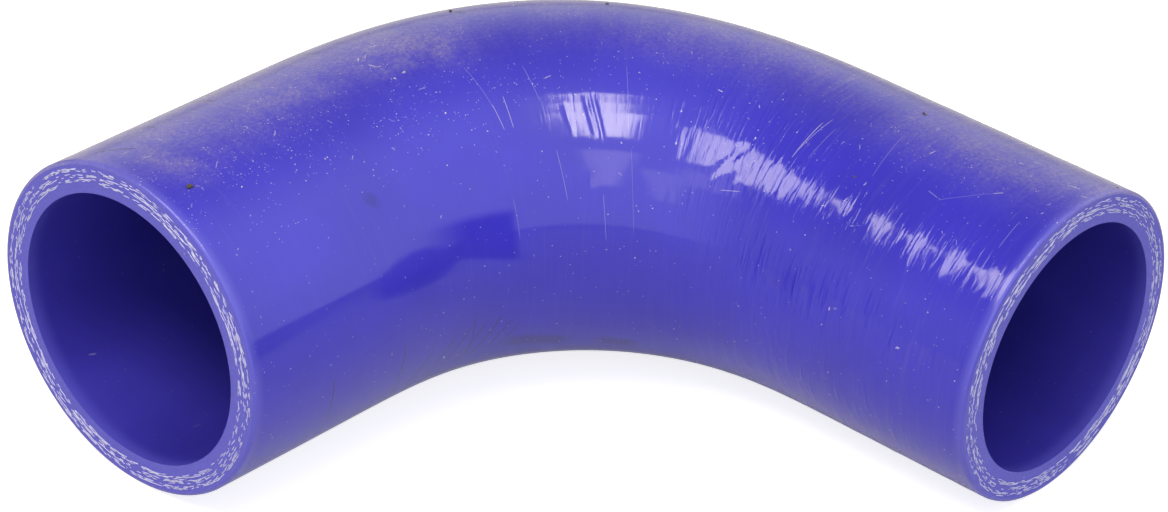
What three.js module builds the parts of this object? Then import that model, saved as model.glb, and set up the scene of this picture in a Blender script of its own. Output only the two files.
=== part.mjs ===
// Silicone elbow hose, lying on its side. Millimetres, +Z up, origin under the middle of the hose.
// It is one moulded wall with no separate pieces: a straight leg, a bend of nearly a right angle, and
// a second straight leg with a slightly smaller bore. Both ends are cut off flat. The cut of the large
// end faces -X and the cut of the small end faces -Y.
import * as THREE from 'three';
import { mergeVertices } from 'three/addons/utils/BufferGeometryUtils.js';

// The wall
const LARGE_BORE = 45;
const SMALL_BORE = 42;
const WALL = 5.2;
const RIM_ROUND = 0.6;

// The run of the centreline, from the large cut to the small one
const LARGE_LEG = 43.3;
const SMALL_LEG = 43;
const BEND_RADIUS = 58.5;
const BEND_ANGLE = THREE.MathUtils.degToRad(87);
const BEND_EASE = 36;

// The hose swells a little where it was pushed round the bend of its core
const SWELL = 1.4;
const SWELL_LENGTH = 104;

// How far each cut is turned away from square to its leg
const LARGE_CUT_TURN = THREE.MathUtils.degToRad(2.25);
const SMALL_CUT_TURN = THREE.MathUtils.degToRad(-0.75);

// Fineness of the faceted surface
const SIDES = 54;
const LEG_STEPS = 6;
const BEND_STEPS = 26;
const RIM_STEPS = 2;
const CENTRELINE_STEP = 0.25;

const HOSE_BLUE = 0x4f4cbe;

const bendLength = BEND_RADIUS * BEND_ANGLE;
const bendEnd = LARGE_LEG + bendLength;
const hoseLength = bendEnd + SMALL_LEG;
const bendMiddle = LARGE_LEG + bendLength / 2;

// Outer radius of the wall at a distance along the centreline
function outerRadius(along) {
  const large = LARGE_BORE / 2 + WALL;
  const small = SMALL_BORE / 2 + WALL;
  const taper = THREE.MathUtils.smoothstep(along, LARGE_LEG, bendEnd);
  const fromMiddle = Math.min(Math.abs(along - bendMiddle) / (SWELL_LENGTH / 2), 1);
  const swell = SWELL * (1 + Math.cos(Math.PI * fromMiddle)) / 2;
  return THREE.MathUtils.lerp(large, small, taper) + swell;
}

// Length of full-curvature bend up to a place, where the curvature eases in around the given start
function bentLength(along, start) {
  const share = (along - start) / BEND_EASE + 0.5;
  if (share <= 0) return 0;
  if (share >= 1) return along - start;
  return BEND_EASE * (share ** 3 - share ** 4 / 2);
}

// Direction of the centreline in plan, as an angle from +X. The large cut faces straight along X.
function heading(along) {
  const turned = (bentLength(along, LARGE_LEG) - bentLength(along, bendEnd)) / BEND_RADIUS;
  const alreadyTurned = (bentLength(0, LARGE_LEG) - bentLength(0, bendEnd)) / BEND_RADIUS;
  return -LARGE_CUT_TURN - (turned - alreadyTurned);
}

// Centreline in plan, walked from the large cut in short steps
function walkCentreline() {
  const count = Math.ceil(hoseLength / CENTRELINE_STEP);
  const step = hoseLength / count;
  const points = [new THREE.Vector2(0, 0)];
  for (let i = 0; i < count; i += 1) {
    const direction = heading((i + 0.5) * step);
    const next = points[i].clone();
    next.x += step * Math.cos(direction);
    next.y += step * Math.sin(direction);
    points.push(next);
  }
  return { points, step };
}

const centreline = walkCentreline();

function centrePoint(along) {
  const place = THREE.MathUtils.clamp(along / centreline.step, 0, centreline.points.length - 1);
  const before = Math.min(Math.floor(place), centreline.points.length - 2);
  return centreline.points[before].clone().lerp(centreline.points[before + 1], place - before);
}

// Distances along the hose at which the wall gets a ring of corners
function ringStations() {
  const stations = [];
  for (let i = 0; i < LEG_STEPS; i += 1) stations.push(LARGE_LEG * i / LEG_STEPS);
  for (let i = 0; i < BEND_STEPS; i += 1) stations.push(LARGE_LEG + bendLength * i / BEND_STEPS);
  for (let i = 0; i <= LEG_STEPS; i += 1) stations.push(bendEnd + SMALL_LEG * i / LEG_STEPS);
  return stations;
}

// Closed section of the wall as it would be if the hose lay straight: radius against distance along it.
// The bore meets the cuts at a sharp edge, and the outside meets them at a small round.
function wallSection() {
  const stations = ringStations();
  const inside = stations.map((along) => new THREE.Vector2(outerRadius(along) - WALL, along));
  const outside = stations.slice(1, -1).map((along) => new THREE.Vector2(outerRadius(along), along));
  const largeRim = [];
  const smallRim = [];
  for (let i = 0; i <= RIM_STEPS; i += 1) {
    const angle = Math.PI / 2 * i / RIM_STEPS;
    const inwards = RIM_ROUND * (1 - Math.cos(angle));
    const back = RIM_ROUND * (1 - Math.sin(angle));
    largeRim.push(new THREE.Vector2(outerRadius(0) - inwards, back));
    smallRim.push(new THREE.Vector2(outerRadius(hoseLength) - inwards, hoseLength - back));
  }
  const section = [...largeRim.reverse(), ...outside, ...smallRim, ...inside.reverse()];
  section.push(section[0].clone());
  return section;
}

// A cut that isn't square to its leg slides the wall along the leg on one side of the hose and back on
// the other. The slide fades to nothing where the leg ends.
function cutSlide(along, sideways) {
  const large = Math.tan(LARGE_CUT_TURN) * THREE.MathUtils.clamp(1 - along / LARGE_LEG, 0, 1);
  const small = Math.tan(SMALL_CUT_TURN) * THREE.MathUtils.clamp((along - bendEnd) / SMALL_LEG, 0, 1);
  return (large + small) * sideways;
}

// Moves each corner of the straight hose onto the bent centreline. The middle of the hose lies one
// outer radius above the floor, so that the hose rests along its whole underside.
function layAlongCentreline(geometry) {
  const position = geometry.attributes.position;
  for (let i = 0; i < position.count; i += 1) {
    const sideways = position.getX(i);
    const along = position.getY(i);
    const upwards = position.getZ(i);
    const direction = heading(along);
    const centre = centrePoint(along);
    const forward = cutSlide(along, sideways);
    const x = centre.x + sideways * Math.sin(direction) + forward * Math.cos(direction);
    const y = centre.y - sideways * Math.cos(direction) + forward * Math.sin(direction);
    position.setXYZ(i, x, y, outerRadius(along) + upwards);
  }
}

// Puts the origin on the floor under the middle of the hose's box
function moveToFloorCentre(geometry) {
  geometry.computeBoundingBox();
  const middle = geometry.boundingBox.getCenter(new THREE.Vector3());
  geometry.translate(-middle.x, -middle.y, -geometry.boundingBox.min.z);
}

function makeHose() {
  const lathed = new THREE.LatheGeometry(wallSection(), SIDES);
  lathed.deleteAttribute('normal');
  lathed.deleteAttribute('uv');
  const geometry = mergeVertices(lathed, 1e-3);
  layAlongCentreline(geometry);
  moveToFloorCentre(geometry);
  geometry.computeVertexNormals();
  const silicone = new THREE.MeshStandardMaterial({ color: HOSE_BLUE, roughness: 0.3, metalness: 0 });
  const hose = new THREE.Mesh(geometry, silicone);
  hose.name = 'elbow_hose';
  return hose;
}

const object = new THREE.Group();
object.add(makeHose());

export default object;
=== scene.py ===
# Silicone elbow hose, lying on its side. Metres, +Z up, origin on the floor under the hose's middle.
# The wall is modelled straight along +X, gets its wrap marks and creases there, and is then bent.
import math
import random

import bmesh
import bpy
from mathutils import Matrix, Vector, noise


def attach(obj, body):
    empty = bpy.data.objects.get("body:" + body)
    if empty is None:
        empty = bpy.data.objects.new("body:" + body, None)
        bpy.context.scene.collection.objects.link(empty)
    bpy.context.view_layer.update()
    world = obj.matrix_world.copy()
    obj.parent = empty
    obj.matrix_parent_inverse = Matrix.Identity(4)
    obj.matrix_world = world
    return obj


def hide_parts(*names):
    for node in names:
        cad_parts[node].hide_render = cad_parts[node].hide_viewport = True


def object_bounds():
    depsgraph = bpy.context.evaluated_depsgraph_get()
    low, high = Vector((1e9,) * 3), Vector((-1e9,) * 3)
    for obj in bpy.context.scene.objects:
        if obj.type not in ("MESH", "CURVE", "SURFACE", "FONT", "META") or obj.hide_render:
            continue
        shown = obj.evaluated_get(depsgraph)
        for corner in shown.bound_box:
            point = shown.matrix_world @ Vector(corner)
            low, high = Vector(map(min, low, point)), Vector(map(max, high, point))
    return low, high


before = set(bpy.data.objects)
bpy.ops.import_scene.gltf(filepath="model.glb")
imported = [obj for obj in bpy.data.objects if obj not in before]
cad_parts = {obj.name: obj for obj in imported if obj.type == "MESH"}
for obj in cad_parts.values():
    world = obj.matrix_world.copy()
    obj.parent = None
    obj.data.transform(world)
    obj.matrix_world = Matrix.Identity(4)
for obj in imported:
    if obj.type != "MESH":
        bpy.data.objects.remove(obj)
cad_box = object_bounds()

# The wall, as the CAD model has it
LARGE_BORE = 0.045
SMALL_BORE = 0.042
WALL = 0.0052
RIM_ROUND = 0.0006
LARGE_LEG = 0.0433
SMALL_LEG = 0.043
BEND_RADIUS = 0.0585
BEND_ANGLE = math.radians(87)
BEND_EASE = 0.036
SWELL = 0.0014
SWELL_LENGTH = 0.104
LARGE_CUT_TURN = math.radians(2.25)
SMALL_CUT_TURN = math.radians(-0.75)
CENTRELINE_STEP = 0.0005

BEND_LENGTH = BEND_RADIUS * BEND_ANGLE
BEND_END = LARGE_LEG + BEND_LENGTH
HOSE_LENGTH = BEND_END + SMALL_LEG
BEND_MIDDLE = LARGE_LEG + BEND_LENGTH / 2
STRAIGHT_RADIUS = LARGE_BORE / 2 + WALL
STRAIGHT_BORE = LARGE_BORE / 2

# Fineness of the mesh. The cover's edge is cut twice over by COVER_CUTS.
SIDES = 216
COVER_CUTS = 18
BORE_CUTS = 40
FACE_CUTS = 8
RIM_SEGMENTS = 3
NARROW_GAP = 0.00002
SMOOTH_ANGLE = math.radians(35)

# Which of the wall's materials a face has
COVER = 0
CUT_END = 1
LINER = 2

# How far below its axis the underside of the hose starts, as a share of its radius
SEAM_START = 0.8

# The fabric plies in the cuts. FIRST_PLY and LAST_PLY are shares of the wall, from the bore outwards.
PLY_ROWS = 3
FIRST_PLY = 0.37
LAST_PLY = 0.72
PLY_WANDER = 0.00022
PLY_WANDER_SPAN = 0.007

# Their yarn. It dips into the rubber in short and long waves, and YARN_SHOWING sinks it all a little.
STRANDS = 3
STRAND_GAP = 0.00021
STRAND_SWAY_SPAN = 0.0015
YARN_RADIUS = 0.00008
YARN_STEP = 0.0002
YARN_DIP = 0.0006
YARN_SHOWING = -0.04
SHORT_DIP_SPAN = 0.0012
LONG_DIP_SPAN = 0.004
LONG_DIP = 0.5

# The camera, fitted to the rims and the outline of the hose
CAMERA_AIM = Vector((0.001765, 0.002859, 0.0277))
CAMERA_DISTANCE = 0.6386
CAMERA_AZIMUTH = math.radians(-49.66)
CAMERA_ELEVATION = math.radians(32.785)
CAMERA_ROLL = math.radians(2.806)
CAMERA_LENS = 125.08
SENSOR_WIDTH = 36

# The floor glows white towards the camera, and by a share of that in what the cover mirrors
FLOOR_SIZE = 8
FLOOR_WHITE = (0.6, 0.6, 0.6)
FLOOR_DARK = (0.06, 0.06, 0.07)
FLOOR_GLOW = 0.8
FLOOR_MIRRORED = 0.2

# The lamps. Three softboxes lie over the front, in a row that widens away from the hose.
LAMP_HEIGHT = 1.03
LAMP_TINT = (1.0, 0.90, 0.73)
FRONT_TURN = 48
FRONT_RADIANCE = 12.5
FILL_SHARES = (1.15, 1.0, 0.85)

# The sky as a light, which changes from the first value to the second over a stretch of directions in Y
SKY_LIGHT = (0.72, 0.10)
SKY_LIGHT_SPAN = (-0.7, 0.35)

# The sky as the cover mirrors it. The value at the front gives way to the one at the back over a stretch
# of directions in Y, and the back changes in the same way over one in Z.
SKY_FRONT = 1.5
SKY_FRONT_SPAN = (-0.5, 0.4)
SKY_BACK = (0.2, 0.8)
SKY_BACK_SPAN = (0.8, 0.25)

# The cover mirrors a dark room in front of the hose, under the lamps. These are the directions in which
# it starts and is in full: downwards in Z, and from each side in X.
ROOM_TOP = (0.27, 0.15)
ROOM_LEFT = (-0.16, -0.05)
ROOM_RIGHT = (0.58, 0.28)

# Where the mirrored floor gives way to that room, each as a start and an end. Its front edge is a line
# turned by TABLE_TURN, its left edge one slanted by TABLE_SLANT, and its right edge a slope seen from
# TABLE_CORNER, past which a share of the darkness is left.
TABLE_EDGE = (-0.095, -0.118)
TABLE_TURN = 1.2
TABLE_LEFT = (-0.016, -0.002)
TABLE_SLANT = 0.12
TABLE_CORNER = (-0.03, 0.01)
TABLE_RIGHT = (0.64, 0.36)
DARKNESS_LEFT = 0.20

SILICONE_IOR = 1.5
YARN_IOR = 1.5
FLOOR_IOR = 1.45
HOSE_BLUE = (0.042, 0.035, 0.57)
LINER_BLUE = (0.034, 0.029, 0.36)
CUT_BLUE = (0.112, 0.110, 0.66)
YARN_WHITE = (0.66, 0.68, 0.94)
YARN_STAINED = (0.24, 0.24, 0.72)
DUST_AND_SHEEN_PALE = (0.34, 0.31, 0.45)
SPECK_AND_GLINT_PALE = (0.55, 0.54, 0.68)
DARK_MARK_BLUE = (0.020, 0.017, 0.26)
WRINKLE_SHADE_DARK = (0.030, 0.026, 0.14)
GRIT_BROWN = (0.085, 0.075, 0.050)

# Ridges that the wrapping tape left round the straight stretch before the small end: crest and height.
# Each one rises gently from the foot of the one before it, and falls off faster. They are strongest on
# the side that faces up and into the bend.
WRAP_RIDGES = (
    (0.1280, 0.00003),
    (0.1345, 0.00004),
    (0.1420, 0.00005),
    (0.1500, 0.00010),
    (0.1570, 0.00008),
    (0.1640, 0.00009),
    (0.1702, 0.00008),
)
FIRST_FOOT = 0.121
RIDGE_FALL = 0.0028
RIDGE_WANDER = 0.0012
RIDGE_MIDDLE = 42
RIDGE_SPREAD = 60
RIDGE_FADE = 0.8

# The wrapping tape's finer marks are full past this stretch, and a share of them lies before it
WRAP_MARKS_START = (0.100, 0.118)
WRAP_MARKS_BEFORE = 0.1
WRAP_MARK_HEIGHT = 0.000026

# The cover is a little uneven everywhere
UNEVEN_HEIGHT = 0.00004

# How far the patterns of the relief span along the hose and across it
UNEVEN_SPANS = (0.030, 0.022)
WRAP_MARK_SPANS = (0.0016, 0.012)
RIDGE_WANDER_SPANS = (0.02, 0.012)

# Places on the cover are given along the hose in metres, and round it in degrees from the top, counted
# towards the inside of the bend.

# Creases are looked for this near to their corners, and fade out over a share of their length at each end
CREASE_REACH = 0.008
CREASE_FADE = 0.25

# Creases pressed into the cover: their course, depth and width
CREASES = (
    (((0.1150, 52), (0.1165, 48), (0.1190, 42), (0.1218, 35)), 0.00020, 0.0006),
    (((0.1152, 56), (0.1220, 47), (0.1243, 46)), 0.00006, 0.0004),
    (((0.0797, 35), (0.0806, 41), (0.0817, 46)), 0.00005, 0.0004),
    (((0.0844, 32), (0.0857, 40), (0.0872, 47)), 0.00006, 0.0004),
    (((0.0859, 31), (0.0877, 42), (0.0890, 49)), 0.00006, 0.0004),
    (((0.0842, 60), (0.0877, 59)), 0.00008, 0.0004),
    (((0.0767, 50), (0.0797, 66)), 0.00003, 0.0004),
    (((0.1305, 52), (0.1290, 58), (0.1288, 66)), 0.00005, 0.0005),
    (((0.1060, 38), (0.1066, 52)), 0.00005, 0.0004),
    (((0.1098, 34), (0.1092, 50)), 0.00005, 0.0004),
)

# The marks below each run from one place to another. Their edge is soft between two shares of their
# width. MARK_TAPER weakens them towards their ends: it is a range of the share of a mark that lies before
# a place times the share that lies after it.
MARK_EDGE = (0.15, 0.6)
MARK_TAPER = (-0.10, 0.12)

# Fine dark lines along the cover's finest wrinkles, painted as the shade in them: both ends, width and
# strength
PAINTED_WRINKLE_SHADE = (
    ((0.0036, -21), (0.0070, -11), 0.00050, 0.8),
    ((0.0136, -33), (0.0146, -20), 0.00044, 0.85),
    ((0.0226, -36), (0.0232, -25), 0.00044, 0.8),
    ((0.0253, -38), (0.0261, -19), 0.00050, 0.9),
    ((0.0284, -37), (0.0292, -24), 0.00040, 0.8),
    ((0.0383, -38), (0.0396, -26), 0.00050, 0.8),
    ((0.0451, -32), (0.0468, -21), 0.00050, 0.8),
    ((0.0504, -30), (0.0516, -22), 0.00044, 0.8),
    ((0.0674, -24), (0.0690, -15), 0.00044, 0.8),
    ((0.0364, 122), (0.0400, 108), 0.00044, 0.8),
    ((0.0410, 121), (0.0455, 106), 0.00044, 0.9),
    ((0.0445, 122), (0.0495, 104), 0.00044, 0.9),
    ((0.0485, 122), (0.0540, 105), 0.00044, 0.9),
    ((0.0530, 121), (0.0590, 103), 0.00044, 0.9),
    ((0.0570, 121), (0.0625, 107), 0.00044, 0.8),
    ((0.0610, 121), (0.0655, 109), 0.00040, 0.85),
    ((0.0165, 96), (0.0175, 116), 0.00034, 0.85),
    ((0.0322, 98), (0.0330, 122), 0.00034, 0.85),
    ((0.0505, 100), (0.0515, 124), 0.00034, 0.85),
)

# Pale scratches in the cover: both ends, width and strength
SCRATCHES = (
    ((0.0646, 32), (0.0654, 41), 0.00016, 0.58),
    ((0.0626, 16), (0.0646, 33), 0.00016, 0.22),
    ((0.0674, 30), (0.0676, 41), 0.00016, 0.65),
    ((0.0636, 63), (0.0641, 76), 0.00018, 0.25),
    ((0.0732, 20), (0.0749, 34), 0.00018, 0.22),
    ((0.0769, 50), (0.0789, 66), 0.00016, 0.40),
    ((0.0889, 64), (0.0902, 79), 0.00016, 0.36),
    ((0.0930, 20), (0.0947, 46), 0.00013, 0.25),
    ((0.0955, 49), (0.0982, 76), 0.00013, 0.22),
    ((0.1300, 34), (0.1308, 17), 0.00020, 0.58),
    ((0.1302, 31), (0.1318, 14), 0.00016, 0.43),
    ((0.1328, 32), (0.1335, 17), 0.00016, 0.22),
    ((0.1446, 28), (0.1433, 6), 0.00016, 0.18),
    ((0.1188, 54), (0.1233, 52), 0.00018, 0.43),
    ((0.1541, 24), (0.1561, 25), 0.00014, 0.43),
    ((0.1563, 26), (0.1629, 14), 0.00012, 0.22),
    ((0.1629, 14), (0.1641, 12), 0.00022, 0.58),
    ((0.1699, 32), (0.1699, 20), 0.00016, 0.25),
)

# Patches where dust has caked: both ends, width and strength
CAKED_DUST = (
    ((0.0060, -8), (0.0090, 14), 0.0060, 0.55),
    ((0.0470, 5), (0.0560, 6), 0.0050, 0.45),
    ((0.0530, -14), (0.0630, 8), 0.0100, 0.60),
    ((0.0280, -4), (0.0400, 4), 0.0050, 0.30),
    ((0.1500, -4), (0.1660, 2), 0.0060, 0.30),
)

# Dark marks: a smear on the large leg, and two long bands that make the lower part of the inside of the
# bend darker: both ends, width and strength
DARK_MARKS = (
    ((0.0310, 44.5), (0.0322, 47.5), 0.0026, 0.50),
    ((0.0640, 120), (0.0810, 125), 0.0042, 0.60),
    ((0.0900, 126), (0.0990, 127), 0.0040, 0.60),
)

# Grains stuck to the cover: place, size in metres, and whether the grain is brown. Some pale ones are
# painted glints.
GRAINS = (
    ((0.0060, 16), 0.00090, True),
    ((0.1421, 31), 0.00035, True),
    ((0.1416, -10), 0.00050, True),
    ((0.0679, -22), 0.00050, True),
    ((0.0897, -19), 0.00045, True),
    ((0.1740, -24), 0.00035, True),
    ((0.0544, 30), 0.00032, False),
    ((0.0494, 46), 0.00024, False),
    ((0.0955, 22), 0.00030, False),
    ((0.1057, 44), 0.00030, False),
    ((0.1216, 33), 0.00028, False),
    ((0.0524, 10), 0.00040, False),
    ((0.0502, 11), 0.00028, False),
    ((0.0130, 24), 0.00026, False),
    ((0.1300, 36), 0.00022, False),
)
GRAIN_FACETS = 2
GRAIN_LENGTHS = (0.9, 1.8)
GRAIN_BUMPS = 0.9
GRAIN_BUMP_SCALE = 1.3
DRAW_SEED = 7

# Specks of dust, the large ones partly painted glints: how far apart their places lie, and their size as
# a share of that
TINY_SPECKS = (0.0005, 0.21)
SMALL_SPECKS = (0.0014, 0.10)
LARGE_SPECKS_AND_GLINTS = (0.0060, 0.019)
LINT = (0.0011, 0.085)

# Share of their places that holds a speck, where least and most dust has settled. The small ones have
# a share of that, and the large ones always the same.
SPECKS_SHARE = (0.07, 0.95)
SMALL_SPECKS_SHARE = 0.8
LARGE_SPECKS_AND_GLINTS_SHARE = 0.07
FAINTEST_SPECK = 0.20
SPECK_CONTRAST = 0.70
SPECK_RAGGEDNESS = 0.00030
LINER_SPECKS = 0.35

# Directions in which lint lies, in degrees, and how long it is against its width
LINT_TURNS = (15, 75, 130)
LINT_SHAPE = (1, 9, 3)

# How far from the top the specks of dust are dense, in degrees
SPECKS_EDGE = 52

# Where along the hose they get fewer, and what share of them is left
SPECKS_FEWER = (0.045, 0.085)
SPECKS_LEFT = 0.45

# The film of dust, with a painted grazing sheen: it is centred on the hose's far outline as the camera
# sees it. Where it is centred, how far it is full and where it ends, in degrees round the hose, and how
# much of the blue it covers at most
FILM_AND_SHEEN_MIDDLE = -48
FILM_AND_SHEEN_CORE = 18
FILM_AND_SHEEN_EDGE = 74
FILM_AND_SHEEN_COVER = 0.48

# What the dust adds to the roughness of the cover
DUST_DULLING = 0.14

# The pale rim of the cover and of the bore beside the cuts, partly the paler cut rubber and partly a
# painted soft highlight: width and strength
COVER_PALE_RIM_AND_LIGHT = (0.0022, 0.8)
BORE_PALE_RIM_AND_LIGHT = (0.003, 0.5)

# Patterns of noise: scale, detail and roughness of the noise, and then the range that is taken from it
# with what that range becomes. A scale of three numbers is one along the hose and two across it.
FILM_GRAIN = (1600.0, 3.0, 0.7, (0.30, 0.75, 0.5, 1.35))
FILM_PATCHES = (45.0, 6.0, 0.65, (0.30, 0.72, 0.35, 1.1))
FILM_WIPED = ((420, 60, 60), 3.0, 0.5, (0.3, 0.7, 0.75, 1.15))
CAKED_RAGGED = (260.0, 5.0, 0.7, (0.28, 0.70, 0.1, 1.2))
SPECK_CLUSTERS = (90.0, 4.0, 0.6, (0.35, 0.65, 0.2, 1.0))
COVER_CLOUDS = (45.0, 3.0, 0.5, (0.3, 0.7))
COVER_GLOSS = ((260, 30, 30), 3.0, 0.5, (0.3, 0.7, 0.07, 0.11))
BRUSHED = ((900, 60, 60), 4.0, 0.7, (0.50, 0.80))
BRUSHED_STRENGTH = (28.0, 2.0, 0.5, (0.35, 0.7, 0.02, 0.09))
STROKES = ((800, 130, 130), 2.0, 0.5, (0.50, 0.80, 0.0, 0.65))
LINES = ((2100, 180, 180), 2.0, 0.5, (0.50, 0.80, 0.0, 0.42))
CUT_SHADE = (2400.0, 3.0, 0.5, (0.35, 0.7))
LINER_CLOUDS = ((30, 60, 60), 3.0, 0.5, (0.3, 0.7))
LINER_GLOSS = ((30, 60, 60), 3.0, 0.5, (0.3, 0.7, 0.3, 0.42))
GRIT_SHADE = (3000.0, 2.0, 0.5, (0.35, 0.65))
YARN_STAINS = (900.0, 3.0, 0.5, (0.48, 0.72))

# Depth of the strokes and lines that the wrapping tape left, and how much of them lies before its start
MARKS_DEPTH = 0.00008
STROKES_BEFORE = 0.07

# The finest unevenness: scale and detail of its noise, strength and depth
CUT_BUMP = (2400.0, 3.0, 0.25, 0.00006)
LINER_BUMP = (700.0, 2.0, 0.2, 0.00005)
YARN_BUMP = (4500.0, 2.0, 0.6, 0.00004)


# Shape of the hose along its length

def smoothstep(value, low, high):
    share = min(max((value - low) / (high - low), 0), 1)
    return share * share * (3 - 2 * share)


def outer_radius(along):
    """Outer radius of the wall at a distance along the centreline."""
    taper = smoothstep(along, LARGE_LEG, BEND_END)
    from_middle = min(abs(along - BEND_MIDDLE) / (SWELL_LENGTH / 2), 1)
    swell = SWELL * (1 + math.cos(math.pi * from_middle)) / 2
    return WALL + LARGE_BORE / 2 + (SMALL_BORE - LARGE_BORE) / 2 * taper + swell


def bent_length(along, start):
    """Length of full-curvature bend up to a place, where the curvature eases in round the start."""
    share = (along - start) / BEND_EASE + 0.5
    if share <= 0:
        return 0
    if share >= 1:
        return along - start
    return BEND_EASE * (share ** 3 - share ** 4 / 2)


def heading(along):
    """Direction of the centreline in plan, as an angle from +X."""
    turned = bent_length(along, LARGE_LEG) - bent_length(along, BEND_END)
    already_turned = bent_length(0, LARGE_LEG) - bent_length(0, BEND_END)
    return -LARGE_CUT_TURN - (turned - already_turned) / BEND_RADIUS


def centreline():
    """Points of the centreline in plan. The cuts lie in the -X side and the -Y side of the CAD box."""
    count = math.ceil(HOSE_LENGTH / CENTRELINE_STEP)
    step = HOSE_LENGTH / count
    points = [Vector((0, 0, 0))]
    for i in range(count):
        direction = heading((i + 0.5) * step)
        points.append(points[-1] + Vector((math.cos(direction), math.sin(direction), 0)) * step)
    low = cad_box[0]
    start = Vector((low.x, low.y - points[-1].y, 0))
    return [start + point for point in points]


def cut_slide(along, sideways):
    """How far a cut that isn't square to its leg slides the wall along the leg."""
    large = math.tan(LARGE_CUT_TURN) * min(max(1 - along / LARGE_LEG, 0), 1)
    small = math.tan(SMALL_CUT_TURN) * min(max((along - BEND_END) / SMALL_LEG, 0), 1)
    return (large + small) * sideways


# Helpers for modelling

def start_piece():
    """Leaves nothing selected, so that an operator acts on the new piece alone."""
    if bpy.context.object and bpy.context.object.mode != "OBJECT":
        bpy.ops.object.mode_set(mode="OBJECT")
    bpy.ops.object.select_all(action="DESELECT")


def select_where(piece, kind, test):
    """Selects the vertices, edges or faces of a piece in edit mode whose middle passes the test."""
    bpy.ops.mesh.select_mode(type=kind)
    bpy.ops.mesh.select_all(action="DESELECT")
    mesh = bmesh.from_edit_mesh(piece.data)
    for element in {"VERT": mesh.verts, "EDGE": mesh.edges, "FACE": mesh.faces}[kind]:
        corners = [element] if kind == "VERT" else element.verts
        middle = sum((corner.co for corner in corners), Vector()) / len(corners)
        element.select_set(test(middle))
    mesh.select_flush_mode()
    bmesh.update_edit_mesh(piece.data)


def keep_straight_place(piece):
    """Stores where each point lies on the straight hose, for the patterns that follow its surface.

    "unrolled" is the same place laid flat: along the hose, and round it from the top. Its third number
    grows on the underside, so that no mark reaches through the seam there."""
    straight = piece.data.attributes.new("straight", "FLOAT_VECTOR", "POINT")
    flat = piece.data.attributes.new("unrolled", "FLOAT_VECTOR", "POINT")
    for vertex, place, laid in zip(piece.data.vertices, straight.data, flat.data):
        along, side, up = vertex.co
        place.vector = vertex.co
        below = max(0, -up - SEAM_START * STRAIGHT_RADIUS)
        laid.vector = (along, math.atan2(-side, up) * STRAIGHT_RADIUS, below)


def shape_and_bend(piece, guide):
    """Gives a straight piece the taper, swell and cuts of the hose, and bends it along the centreline."""
    for vertex in piece.data.vertices:
        along, side, up = vertex.co
        radius = outer_radius(min(max(along, 0), HOSE_LENGTH))
        from_axis = math.hypot(side, up)
        spread = (from_axis + radius - STRAIGHT_RADIUS) / from_axis
        slid = along + cut_slide(along, -side * spread)
        vertex.co = (slid, side * spread, up * spread + radius)
    bend = piece.modifiers.new("bend", "CURVE")
    bend.object = guide
    bend.deform_axis = "POS_X"
    bpy.context.view_layer.objects.active = piece
    bpy.ops.object.modifier_apply(modifier=bend.name)


def make_guide():
    """The curve that the straight pieces are bent along."""
    points = centreline()
    data = bpy.data.curves.new("centreline", "CURVE")
    data.dimensions = "3D"
    data.twist_mode = "Z_UP"
    data.use_deform_bounds = False
    spline = data.splines.new("POLY")
    spline.points.add(len(points) - 1)
    for control, point in zip(spline.points, points):
        control.co = (*point, 1)
    guide = bpy.data.objects.new("centreline", data)
    bpy.context.scene.collection.objects.link(guide)
    return guide


# The wall

def straight_wall():
    """The wall before it is bent: a section of the straight hose, spun round the X axis."""
    start_piece()
    bpy.ops.mesh.primitive_plane_add(size=1, location=(HOSE_LENGTH / 2, STRAIGHT_RADIUS - WALL / 2, 0))
    wall = bpy.context.object
    wall.name = "hose"
    wall.scale = (HOSE_LENGTH, WALL, 1)
    bpy.ops.object.transform_apply(location=True, rotation=False, scale=True)
    bpy.ops.object.mode_set(mode="EDIT")
    select_where(wall, "VERT", lambda place: place.y > STRAIGHT_RADIUS - NARROW_GAP)
    bpy.ops.mesh.bevel(offset=RIM_ROUND, segments=RIM_SEGMENTS, affect="VERTICES")
    bpy.ops.mesh.select_all(action="SELECT")
    bpy.ops.mesh.delete(type="ONLY_FACE")
    for cuts in (COVER_CUTS, COVER_CUTS):
        select_where(wall, "EDGE", lambda place: place.y > STRAIGHT_RADIUS - NARROW_GAP)
        bpy.ops.mesh.subdivide(number_cuts=cuts)
    select_where(wall, "EDGE", lambda place: place.y < STRAIGHT_BORE + NARROW_GAP)
    bpy.ops.mesh.subdivide(number_cuts=BORE_CUTS)
    for cut in (0, HOSE_LENGTH):
        select_where(wall, "EDGE", lambda place: abs(place.x - cut) < NARROW_GAP)
        bpy.ops.mesh.subdivide(number_cuts=FACE_CUTS)
    bpy.ops.mesh.select_all(action="SELECT")
    bpy.ops.mesh.spin(steps=SIDES, angle=2 * math.pi, center=(0, 0, 0), axis=(1, 0, 0))
    bpy.ops.mesh.select_all(action="SELECT")
    bpy.ops.mesh.remove_doubles(threshold=NARROW_GAP)
    bpy.ops.mesh.normals_make_consistent(inside=False)
    bpy.ops.object.mode_set(mode="OBJECT")
    return wall


def from_line(place, start, end):
    """Distance in plan from a place to a stretch of line, and how far along the stretch it lies."""
    span = end - start
    share = min(max((place - start).dot(span) / span.length_squared, 0), 1)
    return (place - start - span * share).length, share


def unrolled(along, degrees):
    """A place on the cover as if it were slit along its top and laid flat."""
    return Vector((along, math.radians(degrees) * STRAIGHT_RADIUS))


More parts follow.
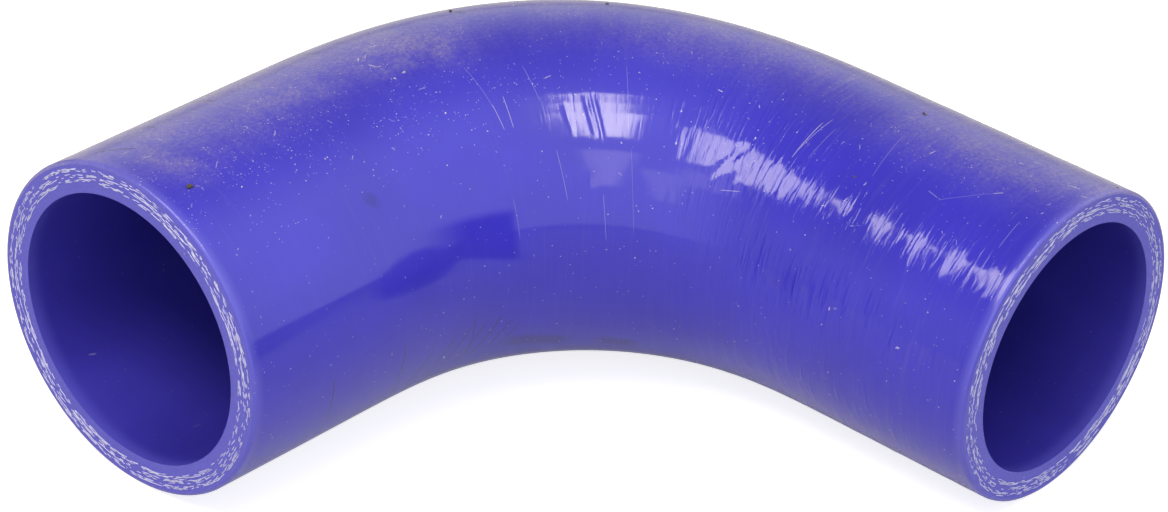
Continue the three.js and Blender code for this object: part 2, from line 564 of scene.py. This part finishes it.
def crease_depth(place):
    """How deep the creases are at a point of the straight hose. Each one fades out at its two ends."""
    flat = Vector((place.x, math.atan2(-place.y, place.z) * STRAIGHT_RADIUS))
    total = 0
    for corners, depth, width in CREASES:
        points = [unrolled(*corner) for corner in corners]
        if min((flat - point).length for point in points) > CREASE_REACH:
            continue
        nearest = min(
            (*from_line(flat, start, end), i) for i, (start, end) in enumerate(zip(points, points[1:]))
        )
        done = (nearest[1] + nearest[2]) / (len(points) - 1)
        fade = smoothstep(done, 0, CREASE_FADE) * smoothstep(1 - done, 0, CREASE_FADE)
        total += depth * fade * math.exp(-((nearest[0] / width) ** 2))
    return total


def ridge_height(along):
    """Height of the ridges of the wrapping tape at a distance along the hose."""
    foot = FIRST_FOOT
    for crest, height in WRAP_RIDGES:
        if foot < along < crest:
            return height * (along - foot) / (crest - foot)
        foot = crest + RIDGE_FALL
        if crest <= along < foot:
            return height * (1 - smoothstep(along, crest, foot))
    return 0


def relief_noise(place, spans, slip=(0, 0)):
    """Noise with a span along the hose and one across it. The slip sets two patterns apart."""
    along, across = spans
    x, z = place.x / along + slip[0], place.z / across + slip[1]
    return noise.noise(Vector((x, place.y / across, z)))


def cover_relief(place):
    """Height of the cover's unevenness and wrap marks at a point of the straight hose."""
    uneven = relief_noise(place, UNEVEN_SPANS)
    wraps = relief_noise(place, WRAP_MARK_SPANS, (7, 0))
    wraps *= 2 * abs(wraps)
    wander = RIDGE_WANDER * relief_noise(place, RIDGE_WANDER_SPANS, (0, 60))
    from_middle = abs(math.degrees(math.atan2(-place.y, place.z)) - RIDGE_MIDDLE)
    fade = RIDGE_FADE * smoothstep(from_middle, RIDGE_SPREAD / 3, RIDGE_SPREAD)
    ridges = ridge_height(place.x + wander) * (1 - fade)
    marked = smoothstep(place.x, *WRAP_MARKS_START)
    marked = WRAP_MARKS_BEFORE + (1 - WRAP_MARKS_BEFORE) * marked
    return UNEVEN_HEIGHT * uneven + ridges + marked * WRAP_MARK_HEIGHT * wraps - crease_depth(place)


def press_in_marks(wall):
    """Moves the cover in and out by its relief. The rims and the bore stay as they are."""
    for vertex in wall.data.vertices:
        from_axis = math.hypot(vertex.co.y, vertex.co.z)
        if from_axis > STRAIGHT_RADIUS - NARROW_GAP:
            height = cover_relief(vertex.co)
            vertex.co.y *= 1 + height / from_axis
            vertex.co.z *= 1 + height / from_axis


def make_wall(guide, cover, cut_end, liner):
    wall = straight_wall()
    keep_straight_place(wall)
    for material in (cover, cut_end, liner):
        wall.data.materials.append(material)
    for face in wall.data.polygons:
        from_axis = math.hypot(face.center.y, face.center.z)
        at_cut = min(face.center.x, HOSE_LENGTH - face.center.x) < NARROW_GAP
        in_bore = from_axis < STRAIGHT_BORE + NARROW_GAP
        face.material_index = CUT_END if at_cut else LINER if in_bore else COVER
    press_in_marks(wall)
    shape_and_bend(wall, guide)
    bpy.ops.object.select_all(action="DESELECT")
    wall.select_set(True)
    bpy.ops.object.shade_smooth_by_angle(angle=SMOOTH_ANGLE)
    for face in wall.data.polygons:
        if face.material_index == CUT_END:
            face.use_smooth = False
    return wall


# The plies

def yarn_points(ply_radius, offset, cut, outwards, slip):
    """A strand of yarn round the straight hose, which wanders with its row and dips into the cut.

    The offset tells the strands of a row apart, and the slip the rows."""
    count = round(2 * math.pi * ply_radius / YARN_STEP)
    points = []
    for i in range(count):
        turn = 2 * math.pi * i / count
        ring = Vector((math.cos(turn), math.sin(turn), 0)) * ply_radius
        wander = PLY_WANDER * noise.noise(ring / PLY_WANDER_SPAN + Vector((0, 0, slip)))
        sway = noise.noise(ring / STRAND_SWAY_SPAN + Vector((0, 0, slip + offset * 7 + 20)))
        rise = noise.noise(ring / SHORT_DIP_SPAN + Vector((0, 0, slip + offset * 5 + 50)))
        rise += LONG_DIP * noise.noise(ring / LONG_DIP_SPAN + Vector((0, 0, slip + 80)))
        radius = ply_radius + wander + STRAND_GAP * sway + offset * STRAND_GAP
        along = cut + outwards * YARN_DIP * min(rise + YARN_SHOWING, 0)
        points.append(Vector((along, radius * math.cos(turn), radius * math.sin(turn))))
    return points


def make_grain(place, size, draw):
    """A grain of grit on the straight hose, half sunk in the dust round it."""
    along, degrees = place
    turn = math.radians(degrees)
    middle = Vector((along, -math.sin(turn) * STRAIGHT_RADIUS, math.cos(turn) * STRAIGHT_RADIUS))
    start_piece()
    bpy.ops.mesh.primitive_ico_sphere_add(subdivisions=GRAIN_FACETS, radius=size / 2, location=middle)
    grain = bpy.context.object
    bpy.ops.object.transform_apply(location=True, rotation=False, scale=False)
    slip = Vector((draw.uniform(0, 100), draw.uniform(0, 100), draw.uniform(0, 100)))
    longer = draw.uniform(*GRAIN_LENGTHS)
    for vertex in grain.data.vertices:
        outwards = vertex.co - middle
        outwards.x *= longer
        outwards *= 1 + GRAIN_BUMPS * noise.noise(outwards / size * GRAIN_BUMP_SCALE + slip)
        vertex.co = middle + outwards
    return grain


def make_grit(name, brown, guide, material, draw):
    """All the grains of one kind, as one piece."""
    grains = [make_grain(place, size, draw) for place, size, is_brown in GRAINS if is_brown == brown]
    start_piece()
    for grain in grains:
        grain.select_set(True)
    bpy.context.view_layer.objects.active = grains[0]
    bpy.ops.object.join()
    grit = bpy.context.object
    grit.name = name
    bpy.ops.object.transform_apply(location=True, rotation=True, scale=True)
    keep_straight_place(grit)
    grit.data.materials.append(material)
    shape_and_bend(grit, guide)
    return grit


def make_plies(name, cut, outwards, guide, material, draw):
    """The yarn of the fabric plies that shows in a cut end."""
    data = bpy.data.curves.new(name, "CURVE")
    data.dimensions = "3D"
    data.bevel_depth = YARN_RADIUS
    data.bevel_resolution = 0
    for row in range(PLY_ROWS):
        share = FIRST_PLY + (LAST_PLY - FIRST_PLY) * row / (PLY_ROWS - 1)
        slip = draw.uniform(0, 1000)
        for strand in range(STRANDS):
            offset = strand - (STRANDS - 1) / 2
            points = yarn_points(STRAIGHT_BORE + WALL * share, offset, cut, outwards, slip)
            spline = data.splines.new("POLY")
            spline.points.add(len(points) - 1)
            for control, point in zip(spline.points, points):
                control.co = (*point, 1)
            spline.use_cyclic_u = True
    plies = bpy.data.objects.new(name, data)
    bpy.context.scene.collection.objects.link(plies)
    start_piece()
    plies.select_set(True)
    bpy.context.view_layer.objects.active = plies
    bpy.ops.object.convert(target="MESH")
    plies = bpy.context.object
    keep_straight_place(plies)
    plies.data.materials.append(material)
    shape_and_bend(plies, guide)
    bpy.ops.object.shade_smooth()
    return plies


# Materials

def add_node(tree, kind, values=None, **settings):
    """A node with its settings, and with numbers or linked sockets at its inputs."""
    node = tree.nodes.new(kind)
    for name, value in settings.items():
        setattr(node, name, value)
    for name, value in (values or {}).items():
        if isinstance(value, bpy.types.NodeSocket):
            tree.links.new(value, node.inputs[name])
        else:
            node.inputs[name].default_value = value
    return node


def math_node(tree, operation, first, second=0.0, clamp=False):
    values = {0: first, 1: second}
    return add_node(tree, "ShaderNodeMath", values, operation=operation, use_clamp=clamp).outputs[0]


def map_range(tree, value, low, high, to_low=0.0, to_high=1.0):
    """Spreads a range of a value over another, smoothly and without going past it."""
    ends = {"Value": value, "From Min": low, "From Max": high, "To Min": to_low, "To Max": to_high}
    return add_node(tree, "ShaderNodeMapRange", ends, interpolation_type="SMOOTHSTEP").outputs[0]


def shades(colour, darker, lighter):
    """A darker and a lighter shade of a colour."""
    return tuple(darker * part for part in colour), tuple(lighter * part for part in colour)


def mix_colour(tree, factor, first, second):
    node = add_node(tree, "ShaderNodeMix", data_type="RGBA")
    for socket, value in zip((node.inputs[0], node.inputs[6], node.inputs[7]), (factor, first, second)):
        if isinstance(value, bpy.types.NodeSocket):
            tree.links.new(value, socket)
        else:
            socket.default_value = value if isinstance(value, float) else (*value, 1)
    return node.outputs[2]


def noise_value(tree, place, scale, detail, roughness=0.5):
    values = {"Vector": place, "Scale": scale, "Detail": detail, "Roughness": roughness}
    return add_node(tree, "ShaderNodeTexNoise", values).outputs["Fac"]


def pattern(tree, place, scale, detail, roughness, spread):
    """One of the patterns of noise, spread as map_range does. Three scales draw it out."""
    if isinstance(scale, tuple):
        place = add_node(tree, "ShaderNodeMapping", {"Vector": place, "Scale": scale}).outputs[0]
        scale = 1.0
    return map_range(tree, noise_value(tree, place, scale, detail, roughness), *spread)


def new_group(name, inputs, outputs):
    """A node group. An input whose value is one number is a plain one, and three make a vector."""
    group = bpy.data.node_groups.new(name, "ShaderNodeTree")
    for label, value in inputs.items():
        kind = "NodeSocketVector" if isinstance(value, tuple) else "NodeSocketFloat"
        socket = group.interface.new_socket(label, in_out="INPUT", socket_type=kind)
        socket.default_value = value
    for label in outputs:
        group.interface.new_socket(label, in_out="OUTPUT", socket_type="NodeSocketFloat")
    return group, group.nodes.new("NodeGroupInput"), group.nodes.new("NodeGroupOutput")


def vector_math(tree, operation, first, second, output="Vector"):
    node = add_node(tree, "ShaderNodeVectorMath", {0: first, 1: second}, operation=operation)
    return node.outputs[output]


def scaled(tree, vector, scale):
    node = add_node(tree, "ShaderNodeVectorMath", {0: vector, "Scale": scale}, operation="SCALE")
    return node.outputs[0]


def mark_group():
    """A soft-edged mark from one place on the unrolled cover to another."""
    inputs = {"Place": (0, 0, 0), "Start": (0, 0, 0), "End": (1, 0, 0), "Width": 0.001, "Strength": 1.0}
    group, given, out = new_group("mark", inputs, ("Mask",))
    from_start = vector_math(group, "SUBTRACT", given.outputs["Place"], given.outputs["Start"])
    span = vector_math(group, "SUBTRACT", given.outputs["End"], given.outputs["Start"])
    reach = vector_math(group, "DOT_PRODUCT", from_start, span, "Value")
    whole = vector_math(group, "DOT_PRODUCT", span, span, "Value")
    share = math_node(group, "DIVIDE", reach, whole, clamp=True)
    away = vector_math(group, "SUBTRACT", from_start, scaled(group, span, share))
    distance = add_node(group, "ShaderNodeVectorMath", {0: away}, operation="LENGTH").outputs["Value"]
    inside = math_node(group, "DIVIDE", distance, given.outputs["Width"])
    mask = map_range(group, inside, *MARK_EDGE, 1.0, 0.0)
    taper = math_node(group, "MULTIPLY", share, math_node(group, "SUBTRACT", 1.0, share))
    taper = map_range(group, taper, *MARK_TAPER)
    strength = math_node(group, "MULTIPLY", given.outputs["Strength"], taper)
    group.links.new(math_node(group, "MULTIPLY", mask, strength), out.inputs["Mask"])
    return group


def marks(tree, group, place, places):
    """The strongest of several marks at each point."""
    strongest = 0.0
    for start, end, width, strength in places:
        values = {
            "Place": place,
            "Start": (*unrolled(*start), 0),
            "End": (*unrolled(*end), 0),
            "Width": width,
            "Strength": strength,
        }
        mask = add_node(tree, "ShaderNodeGroup", values, node_tree=group).outputs["Mask"]
        strongest = math_node(tree, "MAXIMUM", mask, strongest)
    return strongest


def dots(tree, place, spacing, size, share):
    """Separate dots of uneven size and strength at random places. Size is a share of the spacing."""
    values = {"Vector": place, "Scale": 1 / spacing, "Randomness": 1.0}
    cells = add_node(tree, "ShaderNodeTexVoronoi", values)
    pick = add_node(tree, "ShaderNodeSeparateColor", {0: cells.outputs["Color"]})
    width = map_range(tree, pick.outputs[1], 0.0, 1.0, size / 2, size)
    dot = math_node(tree, "LESS_THAN", cells.outputs["Distance"], width)
    chosen = math_node(tree, "LESS_THAN", pick.outputs[0], share)
    strength = math_node(tree, "MULTIPLY", pick.outputs[2], pick.outputs[2])
    strength = math_node(tree, "MULTIPLY", strength, SPECK_CONTRAST)
    strength = math_node(tree, "ADD", strength, FAINTEST_SPECK)
    return math_node(tree, "MULTIPLY", math_node(tree, "MULTIPLY", dot, chosen), strength)


def dust_group():
    """Separate pale specks of dust, more of them where much has settled, and the grain of the film.

    The large specks, the same everywhere, are partly painted glints.
    """
    group, given, out = new_group("settled dust", {"Settled": 0.0, "Specks and glints": 1.0}, ("Grain", "Specks and glints"))
    place = add_node(group, "ShaderNodeTexCoord").outputs["Object"]
    group.links.new(pattern(group, place, *FILM_GRAIN), out.inputs["Grain"])
    bent = add_node(group, "ShaderNodeTexNoise", {"Vector": place, "Scale": 2600.0, "Detail": 1.0})
    ragged = vector_math(group, "ADD", place, scaled(group, bent.outputs["Color"], SPECK_RAGGEDNESS))
    gathered = map_range(group, given.outputs["Settled"], 0.0, 1.0, *SPECKS_SHARE)
    tiny = dots(group, ragged, *TINY_SPECKS, gathered)
    fewer = math_node(group, "MULTIPLY", gathered, SMALL_SPECKS_SHARE)
    small = dots(group, ragged, *SMALL_SPECKS, fewer)
    # Large pale specks, the same everywhere: partly dust, partly painted glints
    large = dots(group, ragged, *LARGE_SPECKS_AND_GLINTS, LARGE_SPECKS_AND_GLINTS_SHARE)
    specks_and_glints = math_node(group, "MAXIMUM", math_node(group, "MAXIMUM", tiny, small), large)
    for turn in LINT_TURNS:
        along = {"Vector": ragged, "Rotation": (0, 0, math.radians(turn)), "Scale": LINT_SHAPE}
        turned = add_node(group, "ShaderNodeMapping", along, vector_type="TEXTURE").outputs[0]
        specks_and_glints = math_node(group, "MAXIMUM", specks_and_glints, dots(group, turned, *LINT, gathered))
    specks_and_glints = math_node(group, "MULTIPLY", specks_and_glints, given.outputs["Specks and glints"], clamp=True)
    group.links.new(specks_and_glints, out.inputs["Specks and glints"])
    return group


def new_material(name, ior):
    material = bpy.data.materials.new(name)
    material.use_nodes = True
    shader = material.node_tree.nodes["Principled BSDF"]
    shader.inputs["IOR"].default_value = ior
    return material, material.node_tree, shader


def axis(tree, vector, name):
    return add_node(tree, "ShaderNodeSeparateXYZ", {0: vector}).outputs[name]


def attribute(tree, name):
    """One of the places that keep_straight_place stored."""
    return add_node(tree, "ShaderNodeAttribute", attribute_name=name).outputs["Vector"]


def add_bump(tree, shader, height, strength, distance):
    values = {"Height": height, "Strength": strength, "Distance": distance}
    bump = add_node(tree, "ShaderNodeBump", values)
    tree.links.new(bump.outputs[0], shader.inputs["Normal"])


def add_fine_bump(tree, shader, straight, scale, detail, strength, distance):
    add_bump(tree, shader, noise_value(tree, straight, scale, detail), strength, distance)


def from_ends(tree, straight, width):
    """A mask that is 1 at both cuts and fades out over a width from them."""
    along = axis(tree, straight, "X")
    back = math_node(tree, "MINIMUM", along, math_node(tree, "SUBTRACT", HOSE_LENGTH, along))
    return map_range(tree, back, 0.0, width, 1.0, 0.0)


def dust_film_and_sheen(tree, straight, flat, place, mark):
    """Where the film of dust lies: along the top, more on the outside of the bend, in patches.

    Its paleness on the far outline is partly a painted grazing sheen.
    """
    turn = math.radians(FILM_AND_SHEEN_MIDDLE)
    upwards = (0, -math.sin(turn) / STRAIGHT_RADIUS, math.cos(turn) / STRAIGHT_RADIUS)
    facing = vector_math(tree, "DOT_PRODUCT", straight, upwards, "Value")
    edge, core = math.cos(math.radians(FILM_AND_SHEEN_EDGE)), math.cos(math.radians(FILM_AND_SHEEN_CORE))
    spread = map_range(tree, facing, edge, core)
    film_and_sheen = math_node(tree, "MULTIPLY", spread, pattern(tree, place, *FILM_PATCHES))
    film_and_sheen = math_node(tree, "MULTIPLY", film_and_sheen, pattern(tree, straight, *FILM_WIPED))
    ragged = pattern(tree, place, *CAKED_RAGGED)
    caked = math_node(tree, "MULTIPLY", marks(tree, mark, flat, CAKED_DUST), ragged)
    return math_node(tree, "ADD", film_and_sheen, caked, clamp=True)


def settled_dust(tree, straight, place, dust):
    """The dust group with most specks on top of the hose, in clusters, and fewer past its large leg."""
    upwards = math_node(tree, "DIVIDE", axis(tree, straight, "Z"), STRAIGHT_RADIUS)
    on_top = map_range(tree, upwards, math.cos(math.radians(SPECKS_EDGE)), 1.0)
    settled = math_node(tree, "MULTIPLY", on_top, pattern(tree, place, *SPECK_CLUSTERS))
    fewer = map_range(tree, axis(tree, straight, "X"), *SPECKS_FEWER, 1.0, SPECKS_LEFT)
    settled = math_node(tree, "MULTIPLY", settled, fewer)
    return add_node(tree, "ShaderNodeGroup", {"Settled": settled}, node_tree=dust).outputs


def wrap_mark_height(tree, straight):
    """Height of the strokes and lines that the wrapping tape left, full towards the small end."""
    marked = map_range(tree, axis(tree, straight, "X"), *WRAP_MARKS_START, STROKES_BEFORE, 1.0)
    height = math_node(tree, "ADD", pattern(tree, straight, *STROKES), pattern(tree, straight, *LINES))
    return math_node(tree, "MULTIPLY", height, marked)


def cover_material(dust, mark):
    """The outside: glossy violet-blue rubber with wrap marks and scratches, and dust on top.

    Painted into its colour are a grazing sheen in the dust film, soft highlights at the rims, shade in
    the fine wrinkles and glints among the specks.
    """
    material, tree, shader = new_material("hose cover", SILICONE_IOR)
    place = add_node(tree, "ShaderNodeTexCoord").outputs["Object"]
    straight = attribute(tree, "straight")
    flat = attribute(tree, "unrolled")
    settled = settled_dust(tree, straight, place, dust)
    film_and_sheen = math_node(tree, "MULTIPLY", dust_film_and_sheen(tree, straight, flat, place, mark), settled["Grain"])
    pale_rim_and_light = from_ends(tree, straight, COVER_PALE_RIM_AND_LIGHT[0])
    brushed = pattern(tree, straight, *BRUSHED)
    brushed = math_node(tree, "MULTIPLY", brushed, pattern(tree, place, *BRUSHED_STRENGTH))

    colour = mix_colour(tree, pattern(tree, place, *COVER_CLOUDS), *shades(HOSE_BLUE, 0.93, 1.05))
    # Towards the cuts the cover takes the cut's paler blue: partly the cut rubber, partly a painted soft
    # highlight
    colour = mix_colour(tree, math_node(tree, "MULTIPLY", pale_rim_and_light, COVER_PALE_RIM_AND_LIGHT[1]), colour, CUT_BLUE)
    # Darker: the smear, and the lower part of the inside of the bend
    colour = mix_colour(tree, marks(tree, mark, flat, DARK_MARKS), colour, DARK_MARK_BLUE)
    # The dust film's pale colour, which on the far outline is also a painted grazing sheen
    colour = mix_colour(tree, math_node(tree, "MULTIPLY", film_and_sheen, FILM_AND_SHEEN_COVER), colour, DUST_AND_SHEEN_PALE)
    # Painted shade along the fine wrinkles
    colour = mix_colour(tree, marks(tree, mark, flat, PAINTED_WRINKLE_SHADE), colour, WRINKLE_SHADE_DARK)
    colour = mix_colour(tree, brushed, colour, DUST_AND_SHEEN_PALE)
    colour = mix_colour(tree, marks(tree, mark, flat, SCRATCHES), colour, SPECK_AND_GLINT_PALE)
    colour = mix_colour(tree, settled["Specks and glints"], colour, SPECK_AND_GLINT_PALE)
    tree.links.new(colour, shader.inputs["Base Color"])

    dull = math_node(tree, "MAXIMUM", film_and_sheen, pale_rim_and_light, clamp=True)
    dull = math_node(tree, "MULTIPLY", dull, DUST_DULLING)
    roughness = math_node(tree, "ADD", pattern(tree, straight, *COVER_GLOSS), dull)
    tree.links.new(roughness, shader.inputs["Roughness"])
    add_bump(tree, shader, wrap_mark_height(tree, straight), 1.0, MARKS_DEPTH)
    shader.inputs["Sheen Weight"].default_value = 0.15
    shader.inputs["Sheen Roughness"].default_value = 0.4
    shader.inputs["Sheen Tint"].default_value = (0.75, 0.72, 0.68, 1)
    return material


def cut_material(dust):
    """The cut ends: paler matt rubber with a fine grain."""
    material, tree, shader = new_material("cut rubber", SILICONE_IOR)
    straight = attribute(tree, "straight")
    specks_and_glints = add_node(tree, "ShaderNodeGroup", node_tree=dust).outputs["Specks and glints"]
    colour = mix_colour(tree, pattern(tree, straight, *CUT_SHADE), *shades(CUT_BLUE, 0.92, 1.08))
    colour = mix_colour(tree, specks_and_glints, colour, SPECK_AND_GLINT_PALE)
    tree.links.new(colour, shader.inputs["Base Color"])
    shader.inputs["Roughness"].default_value = 0.5
    add_fine_bump(tree, shader, straight, *CUT_BUMP)
    return material


def liner_material(dust):
    """The bore: smooth rubber with a soft shine, paler at its very edge, partly as a painted band of
    light.
    """
    material, tree, shader = new_material("hose liner", SILICONE_IOR)
    straight = attribute(tree, "straight")
    specks_and_glints = add_node(tree, "ShaderNodeGroup", {"Specks and glints": LINER_SPECKS}, node_tree=dust)
    pale_rim_and_light = math_node(tree, "MULTIPLY", from_ends(tree, straight, BORE_PALE_RIM_AND_LIGHT[0]), BORE_PALE_RIM_AND_LIGHT[1])
    colour = mix_colour(tree, pattern(tree, straight, *LINER_CLOUDS), *shades(LINER_BLUE, 1.0, 1.2))
    # Paler at the very edge of the bore: partly the cut rubber, partly a painted band of light
    colour = mix_colour(tree, pale_rim_and_light, colour, CUT_BLUE)
    colour = mix_colour(tree, specks_and_glints.outputs["Specks and glints"], colour, SPECK_AND_GLINT_PALE)
    tree.links.new(colour, shader.inputs["Base Color"])
    tree.links.new(pattern(tree, straight, *LINER_GLOSS), shader.inputs["Roughness"])
    add_fine_bump(tree, shader, straight, *LINER_BUMP)
    return material


def grit_material(name, colour):
    """Grains of dirt, rough and uneven in colour."""
    material, tree, shader = new_material(name, SILICONE_IOR)
    place = add_node(tree, "ShaderNodeTexCoord").outputs["Object"]
    shade = pattern(tree, place, *GRIT_SHADE)
    tree.links.new(mix_colour(tree, shade, *shades(colour, 0.6, 1.3)), shader.inputs["Base Color"])
    shader.inputs["Roughness"].default_value = 0.8
    return material


def yarn_material():
    """White polyester yarn, here and there stained by the rubber."""
    material, tree, shader = new_material("ply yarn", YARN_IOR)
    straight = attribute(tree, "straight")
    colour = mix_colour(tree, pattern(tree, straight, *YARN_STAINS), YARN_WHITE, YARN_STAINED)
    tree.links.new(colour, shader.inputs["Base Color"])
    shader.inputs["Roughness"].default_value = 0.7
    add_fine_bump(tree, shader, straight, *YARN_BUMP)
    return material


# Studio

def make_camera():
    back = Vector((
        math.sin(CAMERA_AZIMUTH) * math.cos(CAMERA_ELEVATION),
        -math.cos(CAMERA_AZIMUTH) * math.cos(CAMERA_ELEVATION),
        math.sin(CAMERA_ELEVATION),
    ))
    level_right = Vector((0, 0, 1)).cross(back).normalized()
    level_up = back.cross(level_right)
    right = level_right * math.cos(CAMERA_ROLL) + level_up * math.sin(CAMERA_ROLL)
    up = level_up * math.cos(CAMERA_ROLL) - level_right * math.sin(CAMERA_ROLL)
    data = bpy.data.cameras.new("camera")
    data.lens = CAMERA_LENS
    data.sensor_width = SENSOR_WIDTH
    data.clip_start = 0.01
    camera = bpy.data.objects.new("camera", data)
    turn = Matrix((right, up, back)).transposed().to_4x4()
    camera.matrix_world = Matrix.Translation(CAMERA_AIM + back * CAMERA_DISTANCE) @ turn
    bpy.context.scene.collection.objects.link(camera)
    bpy.context.scene.camera = camera


def make_softbox(name, middle, size, turn, radiance):
    """A rectangular softbox that faces the floor. Its power gives the radiance that its face shows."""
    data = bpy.data.lights.new(name, "AREA")
    data.shape = "RECTANGLE"
    data.size, data.size_y = size
    data.energy = radiance * math.pi * size[0] * size[1]
    data.color = LAMP_TINT
    softbox = bpy.data.objects.new(name, data)
    softbox.location = (*middle, LAMP_HEIGHT)
    softbox.rotation_euler = (0, 0, math.radians(turn))
    softbox.visible_camera = False
    bpy.context.scene.collection.objects.link(softbox)


def make_soft_fill(name, middle, size, turn, radiance):
    """A fill whose edges are soft: three panels, one inside the other, that add up to its radiance."""
    for i, share in enumerate(FILL_SHARES):
        part = (size[0] * share, size[1] * share)
        make_softbox(f"{name} {i + 1}", middle, part, turn, radiance / len(FILL_SHARES))


def mirrored_ray(tree, path):
    """1 for a ray that metal, glass or a glossy cover mirrors or lets through."""
    return math_node(tree, "MAXIMUM", path["Is Glossy Ray"], path["Is Transmission Ray"])


def make_world():
    world = bpy.data.worlds.new("studio")
    bpy.context.scene.world = world
    world.use_nodes = True
    tree = world.node_tree
    tree.nodes.clear()
    path = add_node(tree, "ShaderNodeLightPath").outputs
    direction = add_node(tree, "ShaderNodeTexCoord").outputs["Generated"]
    towards = add_node(tree, "ShaderNodeSeparateXYZ", {0: direction}).outputs
    light = map_range(tree, towards["Y"], *SKY_LIGHT_SPAN, *SKY_LIGHT)
    behind = map_range(tree, towards["Z"], *SKY_BACK_SPAN, *SKY_BACK)
    mirrored = map_range(tree, towards["Y"], *SKY_FRONT_SPAN, SKY_FRONT, behind)
    room = map_range(tree, towards["Z"], *ROOM_TOP)
    room = math_node(tree, "MULTIPLY", room, map_range(tree, towards["X"], *ROOM_LEFT))
    room = math_node(tree, "MULTIPLY", room, map_range(tree, towards["X"], *ROOM_RIGHT))
    mirrored = math_node(tree, "MULTIPLY", mirrored, math_node(tree, "SUBTRACT", 1.0, room))
    glossy = mirrored_ray(tree, path)
    level = add_node(tree, "ShaderNodeMix", {0: glossy, 2: light, 3: mirrored}).outputs[0]
    level = add_node(tree, "ShaderNodeMix", {0: path["Is Camera Ray"], 2: level, 3: 1.0}).outputs[0]
    sky = add_node(tree, "ShaderNodeBackground", {"Color": (1, 1, 1, 1), "Strength": level})
    out = add_node(tree, "ShaderNodeOutputWorld")
    tree.links.new(sky.outputs[0], out.inputs["Surface"])


def dark_floor(tree):
    """Where the floor gives way to the dark room in what the cover mirrors."""
    place = add_node(tree, "ShaderNodeTexCoord").outputs["Object"]
    x, y = axis(tree, place, "X"), axis(tree, place, "Y")
    forwards = math_node(tree, "ADD", y, math_node(tree, "MULTIPLY", x, TABLE_TURN))
    sideways = math_node(tree, "SUBTRACT", x, math_node(tree, "MULTIPLY", y, TABLE_SLANT))
    slope = math_node(tree, "SUBTRACT", x, TABLE_CORNER[0])
    slope = math_node(tree, "DIVIDE", slope, math_node(tree, "SUBTRACT", TABLE_CORNER[1], y))
    dark = map_range(tree, forwards, *TABLE_EDGE)
    dark = math_node(tree, "MULTIPLY", dark, map_range(tree, sideways, *TABLE_LEFT))
    return math_node(tree, "MULTIPLY", dark, map_range(tree, slope, *TABLE_RIGHT, DARKNESS_LEFT, 1.0))


def make_floor():
    start_piece()
    bpy.ops.mesh.primitive_plane_add(size=FLOOR_SIZE)
    floor = bpy.context.object
    floor.name = "floor"
    material, tree, shader = new_material("white sheet", FLOOR_IOR)
    path = add_node(tree, "ShaderNodeLightPath").outputs
    glossy = mirrored_ray(tree, path)
    dark = math_node(tree, "MULTIPLY", dark_floor(tree), glossy)
    mirrored = math_node(tree, "MULTIPLY", math_node(tree, "SUBTRACT", glossy, dark), FLOOR_MIRRORED)
    seen = math_node(tree, "MAXIMUM", path["Is Camera Ray"], mirrored)
    tree.links.new(mix_colour(tree, dark, FLOOR_WHITE, FLOOR_DARK), shader.inputs["Base Color"])
    shader.inputs["Roughness"].default_value = 1.0
    shader.inputs["Specular IOR Level"].default_value = 0.0
    shader.inputs["Emission Color"].default_value = (1, 1, 1, 1)
    tree.links.new(math_node(tree, "MULTIPLY", seen, FLOOR_GLOW), shader.inputs["Emission Strength"])
    floor.data.materials.append(material)


def make_lamps():
    """The softboxes and fills, each with its middle and size in plan, turn in degrees and radiance."""
    front = (FRONT_TURN, FRONT_RADIANCE)
    make_softbox("softbox over the front, near end", (0.054, -0.197), (0.12, 0.035), *front)
    make_softbox("softbox over the front, middle", (-0.021, -0.285), (0.12, 0.075), *front)
    make_softbox("softbox over the front, wide end", (-0.183, -0.455), (0.35, 0.130), *front)
    make_softbox("softbox on the left", (-0.635, 0.126), (0.51, 0.86), 21, 8.2)
    make_soft_fill("fill in front on the left", (-0.84, -1.24), (1.05, 0.21), 52, 5.4)
    make_soft_fill("fill far on the left", (-1.55, -1.05), (1.20, 0.40), 31, 3.0)
    make_soft_fill("fill on the left", (-1.12, -0.25), (0.36, 0.60), 10, 3.4)


def main():
    draw = random.Random(DRAW_SEED)
    make_camera()
    make_world()
    make_floor()
    make_lamps()
    bpy.context.scene.view_settings.view_transform = "Standard"

    dust = dust_group()
    guide = make_guide()
    cover = cover_material(dust, mark_group())
    hose = make_wall(guide, cover, cut_material(dust), liner_material(dust))
    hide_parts("elbow_hose")
    yarn = yarn_material()
    pieces = [
        hose,
        make_plies("large_cut_plies", 0, -1, guide, yarn, draw),
        make_plies("small_cut_plies", HOSE_LENGTH, 1, guide, yarn, draw),
        make_grit("brown_grit", True, guide, grit_material("brown grit", GRIT_BROWN), draw),
        # Pale grit, some of it painted glints
        make_grit("pale_grit_and_glints", False, guide, grit_material("pale grit and glints", SPECK_AND_GLINT_PALE), draw),
    ]
    bpy.data.objects.remove(guide)
    for piece in pieces:
        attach(piece, "root")


main()
